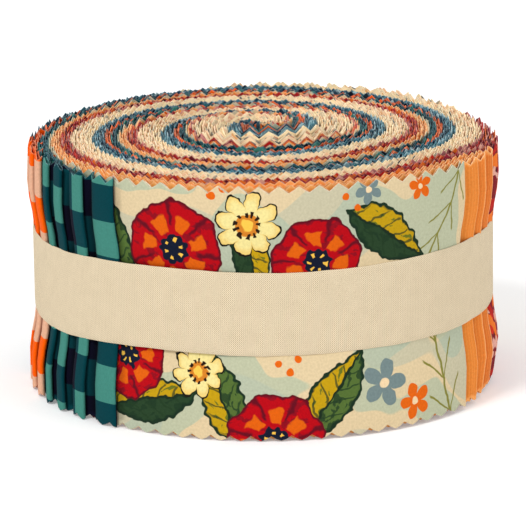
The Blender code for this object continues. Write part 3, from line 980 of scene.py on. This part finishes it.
class Cotton(Paint):
    """A printed cotton: a woven, matt cloth whose reverse is paler than its face and whose cuts are fuzzy."""

    def __init__(self, name):
        self.material = bpy.data.materials.new(name)
        self.material.use_nodes = True
        super().__init__(self.material.node_tree)
        self.shader = self.tree.nodes["Principled BSDF"]
        self.shader.inputs["Roughness"].default_value = 0.88
        self.shader.inputs["Specular IOR Level"].default_value = 0.06
        self.shader.inputs["Sheen Weight"].default_value = 0.015
        self.shader.inputs["Sheen Roughness"].default_value = 0.5
        metres = self.node("UVMap", uv_map="UVMap").outputs[0]
        self.point = self.node("VectorMath", metres, operation="SCALE").outputs[0]
        self.point.node.inputs["Scale"].default_value = 1000.0
        xyz = self.node("SeparateXYZ", self.point).outputs
        self.u, self.v = xyz[0], xyz[1]
        self.side = self.node("Attribute", attribute_name="side").outputs["Fac"]
        stored = self.node("Attribute", attribute_name="dye").outputs
        # The dye's fourth value is the painted light, for painted shade and painted highlight in finish.
        self.dye, self.light = stored["Color"], stored["Alpha"]

    def sprigs(self, look, size, spread, first, second, third):
        """Small scattered spots in three colours: a disc in each cell of a jittered grid."""
        cells = self.node("TexVoronoi", voronoi_dimensions="2D")
        self.put(cells.inputs["Vector"], self.point)
        cells.inputs["Scale"].default_value = 1.0 / size
        pick = self.node("SeparateXYZ", cells.outputs["Color"]).outputs
        colour = self.mix(self.math("GREATER_THAN", pick[0], 0.4), first, second)
        colour = self.mix(self.math("GREATER_THAN", pick[0], 0.75), colour, third)
        reach = self.times(pick[1], spread)
        return self.mix(self.math("LESS_THAN", cells.outputs["Distance"], reach), look, colour)

    def checks(self, light, dark, darkest):
        """Woven squares: light where a light row crosses a light column, darkest where both are dark."""
        shares = [self.math("FRACT", self.times(way, 0.5 / CHECK)) for way in (self.u, self.v)]
        crossing = self.plus(*(self.math("LESS_THAN", share, 0.5) for share in shares))
        look = self.mix(self.math("GREATER_THAN", crossing, 0.5), darkest, dark)
        return self.mix(self.math("GREATER_THAN", crossing, 1.5), look, light)

    def finish(self, look, paler, cut, buried=BURIED_PAINTED_SHADE):
        """Threads, slight unevenness of the dye, reverse and cut edges, and the weave's relief.

        Cloth that lies buried is painted darker, as painted shade, the reverse is mixed with the paler
        colour, and a cut edge with the colour of its fluff. Along the upper edge, where the stored light is
        high, that colour is both fluff and a painted highlight.
        """
        threads = self.times(self.wave(self.u, THREAD), self.wave(self.v, THREAD, 0.7))
        slub = self.noise(self.point, 1.6, 3.0)
        uneven = self.plus(self.scaled(threads, 0.07, 0.86), self.times(slub, 0.28))
        # Painted shade: where the stored light is low, the colour is darkened down to the buried factor.
        painted_shade = self.node("MapRange", self.light, 0.0, 0.5, buried, 1.0).outputs[0]
        tone = self.node("VectorMath", look, operation="SCALE")
        self.put(tone.inputs["Scale"], self.times(uneven, painted_shade))
        look = tone.outputs[0]
        reverse = self.times(self.math("GREATER_THAN", self.side, 0.75), REVERSE_FADE)
        look = self.mix(self.times(reverse, painted_shade), look, paler)
        cloudy = self.scaled(slub, 1.1, -0.25)
        rim = self.math("COMPARE", self.side, 0.5, 0.2)
        # Fluff on cut edges, and a painted highlight where the stored light is high along the upper edge.
        fluff_and_highlight = self.math("MAXIMUM", self.ease(self.light, 0.74, 1.0), rim)
        look = self.mix(self.times(fluff_and_highlight, cloudy), look, cut)
        self.put(self.shader.inputs["Base Color"], look)
        self.relief(self.plus(threads, self.times(slub, 1.5)), 0.5, 0.05 * MM)
        return self.material

    def relief(self, height, strength, distance):
        """Bump of the weave."""
        bump = self.node("Bump")
        bump.inputs["Strength"].default_value = strength
        bump.inputs["Distance"].default_value = distance
        self.put(bump.inputs["Height"], height)
        self.put(self.shader.inputs["Normal"], bump.outputs[0])


def floral_cotton():
    """The outermost strip: sage ground with cream patches, and the motifs of FLORAL_MOTIFS over them."""
    cotton = Cotton("floral_cotton")
    drawings = (
        ("rosette", draw_rosette), ("daisy", draw_daisy), ("leaf", draw_leaf), ("floret", draw_floret),
        ("twig", draw_twig), ("dot", draw_dot))
    groups = {name: motif(name, draw) for name, draw in drawings}
    around = cotton.math("FRACT", cotton.math("DIVIDE", cotton.u, FLORAL_REPEAT))
    around = cotton.times(around, FLORAL_REPEAT)
    point = cotton.node("CombineXYZ", around, cotton.v, 0.0).outputs[0]
    wobble = cotton.noise(cotton.point, 0.34, 1.6).node.outputs["Color"]
    wobble = cotton.node("VectorMath", wobble, (0.5, 0.5, 0.5), operation="SUBTRACT").outputs[0]

    def hand_drawn(reach):
        """The print's own place, moved about by up to half of reach in mm."""
        moved = cotton.node("VectorMath", wobble, (reach, reach, 0.0), point, operation="MULTIPLY_ADD")
        return moved.outputs[0]

    small_place, large_place = hand_drawn(0.8), hand_drawn(1.9)
    patch = cotton.noise(cotton.point, 0.050, 0.6)
    look = cotton.mix(cotton.ease(patch, 0.465, 0.475), cotton.dye, CREAM_PATCH)
    tint = cotton.noise(cotton.point, 0.035, 0.0)
    look = cotton.mix(cotton.times(cotton.ease(tint, 0.52, 0.53), 0.5), look, SAGE_TINT)
    for name, colour, along, up, size, turn in FLORAL_MOTIFS:
        drawn_at = large_place if size > LARGE_MOTIF and name != "twig" else small_place
        centre, spin = (along, up, 0), (0, 0, math.radians(turn))
        place = cotton.node("Mapping", drawn_at, centre, spin, (size, size, size), vector_type="TEXTURE")
        drawn = cotton.tree.nodes.new("ShaderNodeGroup")
        drawn.node_tree = groups[name]
        cotton.put(drawn.inputs[0], place.outputs[0])
        cotton.put(drawn.inputs[1], colour)
        look = cotton.mix(drawn.outputs[1], look, drawn.outputs[0])
    return cotton.finish(look, paler=(0.80, 0.74, 0.60), cut=(0.90, 0.80, 0.62))


def make_materials():
    """The prints of the strips, by group."""
    # Each material also paints shade and highlight from the stored light, in Cotton.finish.
    made = {"floral": floral_cotton()}

    cotton = Cotton("orange_cotton")
    stripe = cotton.times(cotton.ease(cotton.wave(cotton.u, 1.1), 0.2, 0.9), 0.16)
    look = cotton.mix(stripe, cotton.dye, (0.95, 0.45, 0.12))
    # Painted highlight: a pale line along each fold, near the fold's nose.
    fold_highlight = cotton.ease(cotton.absolute(cotton.minus(cotton.u, 0.7)), 0.75, 0.4)
    look = cotton.mix(cotton.times(fold_highlight, 0.6), look, (1.0, 0.58, 0.27))
    # Painted highlight: the teeth, where the stored light is high, are painted a lighter orange.
    teeth = cotton.times(cotton.ease(cotton.light, 0.52, 0.72), 0.45)
    look = cotton.mix(teeth, look, (1.0, 0.52, 0.18))
    made["orange"] = cotton.finish(look, paler=(0.98, 0.46, 0.14), cut=(1.0, 0.88, 0.62))

    cotton = Cotton("red_cotton")
    spots = ((0.62, 0.03, 0.012), (0.75, 0.38, 0.28), (0.06, 0.004, 0.012))
    look = cotton.sprigs(cotton.dye, 3.0, 0.62, *spots)
    stray = cotton.times(cotton.minus(cotton.noise(cotton.point, 0.09, 1.0), 0.5), 26.0)
    stray = cotton.times(stray, cotton.ease(cotton.absolute(cotton.u), 0.0, 9.0))
    level = cotton.math("FRACT", cotton.math("DIVIDE", cotton.plus(cotton.v, stray), 15.0))
    look = cotton.mix(cotton.within(level, 0.05, 0.22, 0.01), look, (0.45, 0.014, 0.010))
    look = cotton.mix(cotton.within(level, 0.55, 0.65, 0.01), look, (0.70, 0.36, 0.29))
    look = cotton.mix(cotton.within(level, 0.765, 1.05, 0.01), look, (0.78, 0.17, 0.02))
    made["red"] = cotton.finish(look, paler=(0.26, 0.03, 0.04), cut=(0.56, 0.20, 0.19))

    cotton = Cotton("cream_cotton")
    spots = ((0.70, 0.38, 0.24), (0.10, 0.12, 0.13), (0.80, 0.42, 0.16))
    look = cotton.sprigs(cotton.dye, 2.6, 0.42, *spots)
    paler, cut = (0.98, 0.84, 0.60), (1.0, 0.90, 0.68)
    made["cream"] = cotton.finish(look, paler, cut, buried=CREAM_BURIED_PAINTED_SHADE)

    cotton = Cotton("blue_cotton")
    spots = ((0.004, 0.012, 0.03), (0.50, 0.62, 0.62), (0.03, 0.16, 0.20))
    look = cotton.sprigs(cotton.dye, 2.2, 0.6, *spots)
    made["blue"] = cotton.finish(look, paler=(0.03, 0.12, 0.18), cut=(0.36, 0.54, 0.60))

    cotton = Cotton("orange_check_cotton")
    look = cotton.checks(light=(0.71, 0.39, 0.25), dark=cotton.dye, darkest=(0.46, 0.05, 0.01))
    paler, cut = (0.75, 0.22, 0.10), (0.95, 0.55, 0.36)
    made["orange_check"] = cotton.finish(look, paler, cut, buried=CHECK_BURIED_PAINTED_SHADE)

    cotton = Cotton("teal_check_cotton")
    look = cotton.checks(light=(0.050, 0.22, 0.177), dark=cotton.dye, darkest=(0.003, 0.003, 0.014))
    paler, cut = (0.03, 0.12, 0.15), (0.26, 0.42, 0.46)
    made["teal_check"] = cotton.finish(look, paler, cut, buried=CHECK_BURIED_PAINTED_SHADE)
    return made


def tape_cotton():
    """Natural cotton tape: plain weave with ribs along it, slightly open between the threads."""
    cotton = Cotton("tape_cotton")
    across = cotton.wave(cotton.u, 0.52)
    along = cotton.wave(cotton.v, 0.50)
    knots = cotton.times(across, along)
    grain = cotton.noise(cotton.point, 0.25, 3.0)
    light = cotton.plus(cotton.scaled(knots, 0.62, 0.45), cotton.times(grain, 0.16))
    light = cotton.plus(light, cotton.times(across, 0.12))
    between_threads, threads = (0.40, 0.31, 0.19), (0.90, 0.765, 0.55)
    look = cotton.mix(light, between_threads, threads)
    cotton.put(cotton.shader.inputs["Base Color"], look)
    cotton.relief(cotton.plus(knots, cotton.times(across, 0.5)), 0.6, 0.08 * MM)
    return cotton.material


def make_strips(materials):
    """One piece for each print, which stands for its loose ends and, with the others, for the wound part.

    On the roll's side the cream and the blue strips show only at the back. The two layers' teeth line up
    at the folds of the floral and the checked strips.
    """
    rng = np.random.default_rng(40)
    first = 0
    for group, slip, spread, ends in STRIP_GROUPS:
        cloth = Cloth()
        for k in range(len(ends)):
            shelf = (k / len(ends), (k + 1) / len(ends))
            dye, print_at = strip_print(group, k, rng)
            slipped = (slip + spread * rng.uniform(-1, 1)) * MM
            shown, backed = group not in ("cream", "blue"), group not in ("orange", "red", "cream", "blue")
            folded_strip(cloth, first + k, slipped, print_at, dye, MOTTLES[group], shelf, shown, backed, rng)
        first += len(ends)
        piece = cloth.finish(f"{group}_strips", materials[group])
        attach(piece, "root")
        nodes = [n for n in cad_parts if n.rsplit("_end", 1)[0] == group]
        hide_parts("wound_strips", *nodes)


def make_band():
    """The tape: a closed ring whose outside is the outline less the CAD band's own inset, plus a swell.

    Round the roll its radius ripples a little, as the tape spans the folds under it, and its two edges
    wander up and down by sines of the angle that close on themselves. The section's corners are rounded.
    On the bake map the inside gets less height than the outside.
    """
    rng = np.random.default_rng(7)
    angle = np.linspace(0, 360, TAPE_STEPS + 1)[:-1]
    turn = np.radians(angle)
    inset = outline(90.0) - BAND_HIGH.x - TAPE_SWELL

    def wander(size, counts):
        """Sines with these many waves round the roll, each next one smaller."""
        phases = rng.uniform(0, 2 * math.pi, len(counts))
        sines = (np.sin(n * turn + f) / (i + 1) for i, (n, f) in enumerate(zip(counts, phases)))
        return size * sum(sines)

    ripple = wander(TAPE_RIPPLE, (5, 9, 17, 31))
    lift = np.interp(angle, *BAND_LIFTS) * MM
    lower = BAND_LOW.z + lift + wander(TAPE_WANDER, (3, 7, 19, 43))
    upper = BAND_HIGH.z + lift + wander(TAPE_WANDER, (2, 8, 23, 47))
    steps = np.array([0.0, 0.02, 0.08, 0.3, 0.5, 0.7, 0.92, 0.98, 1.0])
    rounding = np.array([0.22, 0.05, 0.0, 0.0, 0.0, 0.0, 0.0, 0.05, 0.22]) * MM
    height = lower[:, None] + (upper - lower)[:, None] * steps
    outer = outline(angle)[:, None] - inset + ripple[:, None] - rounding
    inner = outline(angle)[:, None] - inset + ripple[:, None] - TAPE_THICKNESS + rounding
    grids = []
    for radius in (outer, inner):
        xy = direction(angle)[:, None] * radius[..., None]
        grids.append(np.concatenate([xy, height[..., None]], -1))
    loop = np.concatenate([grids[0], grids[1][:, ::-1]], 1)
    count, size, _ = loop.shape
    index = np.arange(count * size).reshape(count, size)
    right, above = np.roll(index, -1, 0), np.roll(index, -1, 1)
    both = np.roll(right, -1, 1)
    quads = np.stack([index, right, both, above], -1).reshape(-1, 4)
    mesh = bpy.data.meshes.new("cotton_band")
    mesh.from_pydata(loop.reshape(-1, 3).tolist(), [], quads.tolist())
    around = np.arange(count + 1) * (2 * math.pi * ROLL_RADIUS / count)
    level = np.concatenate([height[0], height[0][::-1], height[0][:1]])
    places = corners(around, level)
    share = np.concatenate([np.diff(steps), [0.03], np.diff(steps) * 0.3, [0.03]])
    rise = np.concatenate([[0], np.cumsum(share)]) / share.sum()
    bake = corners(np.arange(count + 1) / count, rise)
    for layer, values in (("UVMap", places), ("OFBake", bake)):
        mesh.uv_layers.new(name=layer).uv.foreach_set("vector", values.astype(np.float32).ravel())
    mesh.shade_smooth()
    mesh.set_sharp_from_angle(angle=SHARP_ANGLE)
    mesh.materials.append(tape_cotton())
    piece = bpy.data.objects.new("cotton_tape", mesh)
    bpy.context.scene.collection.objects.link(piece)
    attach(piece, "root")
    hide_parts("cotton_band")


def make_stage():
    """A pale floor that glows a little, so that shadows on it stay faint, and soft light from all round."""
    floor = bpy.data.meshes.new("floor")
    floor.from_pydata([(-3, -3, 0), (3, -3, 0), (3, 3, 0), (-3, 3, 0)], [], [(0, 1, 2, 3)])
    ground = bpy.data.objects.new("floor", floor)
    bpy.context.scene.collection.objects.link(ground)
    material = bpy.data.materials.new("floor")
    material.use_nodes = True
    shader = material.node_tree.nodes["Principled BSDF"]
    shader.inputs["Base Color"].default_value = (0.78, 0.78, 0.78, 1)
    shader.inputs["Roughness"].default_value = 1.0
    shader.inputs["Emission Color"].default_value = (1, 1, 1, 1)
    shader.inputs["Emission Strength"].default_value = 0.24
    floor.materials.append(material)
    world = bpy.data.worlds.new("studio")
    world.use_nodes = True
    world.node_tree.nodes["Background"].inputs["Color"].default_value = (1, 1, 1, 1)
    world.node_tree.nodes["Background"].inputs["Strength"].default_value = 0.66
    bpy.context.scene.world = world
    lamps = (
        # name, direction that it shines from, angular size in degrees, strength
        ("key", (-0.55, -0.6, 0.85), 14, 1.5),
        ("fill", (0.8, -0.5, 0.4), 40, 0.66),
        ("top", (0.05, -0.1, 1.0), 60, 0.32),
    )
    for name, towards, size, strength in lamps:
        data = bpy.data.lights.new(name, "SUN")
        data.angle = math.radians(size)
        data.energy = strength
        lamp = bpy.data.objects.new(name, data)
        lamp.location = towards
        lamp.rotation_euler = Vector(towards).to_track_quat("Z", "Y").to_euler()
        bpy.context.scene.collection.objects.link(lamp)


def make_camera():
    """A camera in front that looks down at the roll's middle and is turned slightly about its own axis."""
    data = bpy.data.cameras.new("camera")
    data.sensor_fit = "HORIZONTAL"
    data.sensor_width = 36.0
    data.lens = FOCAL_PX / IMAGE_SIZE * data.sensor_width
    data.shift_x = (IMAGE_SIZE / 2 - CENTRE_PX[0]) / IMAGE_SIZE
    data.shift_y = (CENTRE_PX[1] - IMAGE_SIZE / 2) / IMAGE_SIZE
    data.clip_end = 20
    camera = bpy.data.objects.new("camera", data)
    lean = math.radians(CAMERA_ELEVATION)
    target = Vector((0, 0, STRIP_WIDTH / 2))
    camera.location = target + CAMERA_DISTANCE * Vector((0, -math.cos(lean), math.sin(lean)))
    level = Matrix.Rotation(math.pi / 2 - lean, 4, "X")
    camera.rotation_euler = (level @ Matrix.Rotation(math.radians(CAMERA_ROLL), 4, "Z")).to_euler()
    bpy.context.scene.collection.objects.link(camera)
    bpy.context.scene.camera = camera


def main():
    make_camera()
    make_strips(make_materials())
    make_band()
    make_stage()
    bpy.context.scene.view_settings.view_transform = "Standard"


main()
